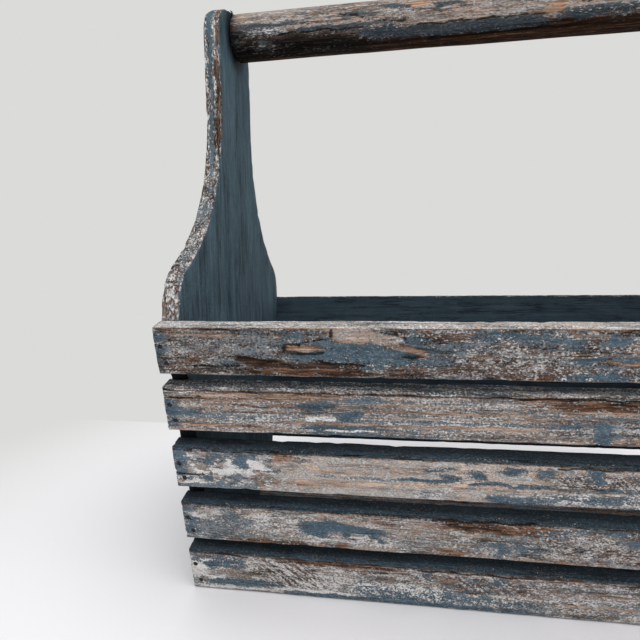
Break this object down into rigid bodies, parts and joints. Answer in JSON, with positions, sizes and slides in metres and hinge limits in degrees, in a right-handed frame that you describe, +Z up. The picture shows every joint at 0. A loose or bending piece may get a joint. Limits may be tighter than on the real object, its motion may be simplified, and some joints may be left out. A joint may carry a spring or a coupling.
{
  "type": "tool caddy",
  "caption": "Open slatted wooden tool caddy with splayed long sides, sculpted end boards and a round carrying handle between them, in worn slate-blue paint.",
  "frame": {"origin": "on the ground, under the middle of the caddy", "axes": "+X along the handle to the right, +Y from the front side to the back side, +Z up"},
  "size_m": [0.43, 0.2594, 0.3999],
  "materials": {
    "slat_paint": "rough-sawn wood with a slate-blue paint worn through to whitewash and brown wood",
    "end_board_paint": "brushed slate-blue paint, worn to whitewash and brown wood along the edges",
    "handle_paint": "slate-blue paint worn to tan wood on the upper side, dark stained wood below",
    "floor_paint": "matt slate-blue paint",
    "screw_steel": "dull zinc-plated steel",
    "brad_steel": "darkened steel"
  },
  "bodies": {
    "root": {"left_end_board": "end_board_paint", "right_end_board": "end_board_paint", "front_slat_1": "slat_paint", "front_slat_2": "slat_paint", "front_slat_3": "slat_paint", "front_slat_4": "slat_paint", "front_slat_5": "slat_paint", "back_slat_1": "slat_paint", "back_slat_2": "slat_paint", "back_slat_3": "slat_paint", "back_slat_4": "slat_paint", "back_slat_5": "slat_paint", "floor_panel": "floor_paint", "handle_dowel": "handle_paint", "left_handle_screw": "screw_steel", "right_handle_screw": "screw_steel", "front_slat_1_left_upper_brad": "brad_steel", "front_slat_1_left_lower_brad": "brad_steel", "front_slat_1_right_upper_brad": "brad_steel", "front_slat_1_right_lower_brad": "brad_steel", "front_slat_2_left_upper_brad": "brad_steel", "front_slat_2_left_lower_brad": "brad_steel", "front_slat_2_right_upper_brad": "brad_steel", "front_slat_2_right_lower_brad": "brad_steel", "front_slat_3_left_upper_brad": "brad_steel", "front_slat_3_left_lower_brad": "brad_steel", "front_slat_3_right_upper_brad": "brad_steel", "front_slat_3_right_lower_brad": "brad_steel", "front_slat_4_left_upper_brad": "brad_steel", "front_slat_4_left_lower_brad": "brad_steel", "front_slat_4_right_upper_brad": "brad_steel", "front_slat_4_right_lower_brad": "brad_steel", "front_slat_5_left_upper_brad": "brad_steel", "front_slat_5_left_lower_brad": "brad_steel", "front_slat_5_right_upper_brad": "brad_steel", "front_slat_5_right_lower_brad": "brad_steel", "back_slat_1_left_upper_brad": "brad_steel", "back_slat_1_left_lower_brad": "brad_steel", "back_slat_1_right_upper_brad": "brad_steel", "back_slat_1_right_lower_brad": "brad_steel", "back_slat_2_left_upper_brad": "brad_steel", "back_slat_2_left_lower_brad": "brad_steel", "back_slat_2_right_upper_brad": "brad_steel", "back_slat_2_right_lower_brad": "brad_steel", "back_slat_3_left_upper_brad": "brad_steel", "back_slat_3_left_lower_brad": "brad_steel", "back_slat_3_right_upper_brad": "brad_steel", "back_slat_3_right_lower_brad": "brad_steel", "back_slat_4_left_upper_brad": "brad_steel", "back_slat_4_left_lower_brad": "brad_steel", "back_slat_4_right_upper_brad": "brad_steel", "back_slat_4_right_lower_brad": "brad_steel", "back_slat_5_left_upper_brad": "brad_steel", "back_slat_5_left_lower_brad": "brad_steel", "back_slat_5_right_upper_brad": "brad_steel", "back_slat_5_right_lower_brad": "brad_steel", "left_floor_front_brad": "brad_steel", "left_floor_back_brad": "brad_steel", "right_floor_front_brad": "brad_steel", "right_floor_back_brad": "brad_steel"}
  },
  "joints": []
}
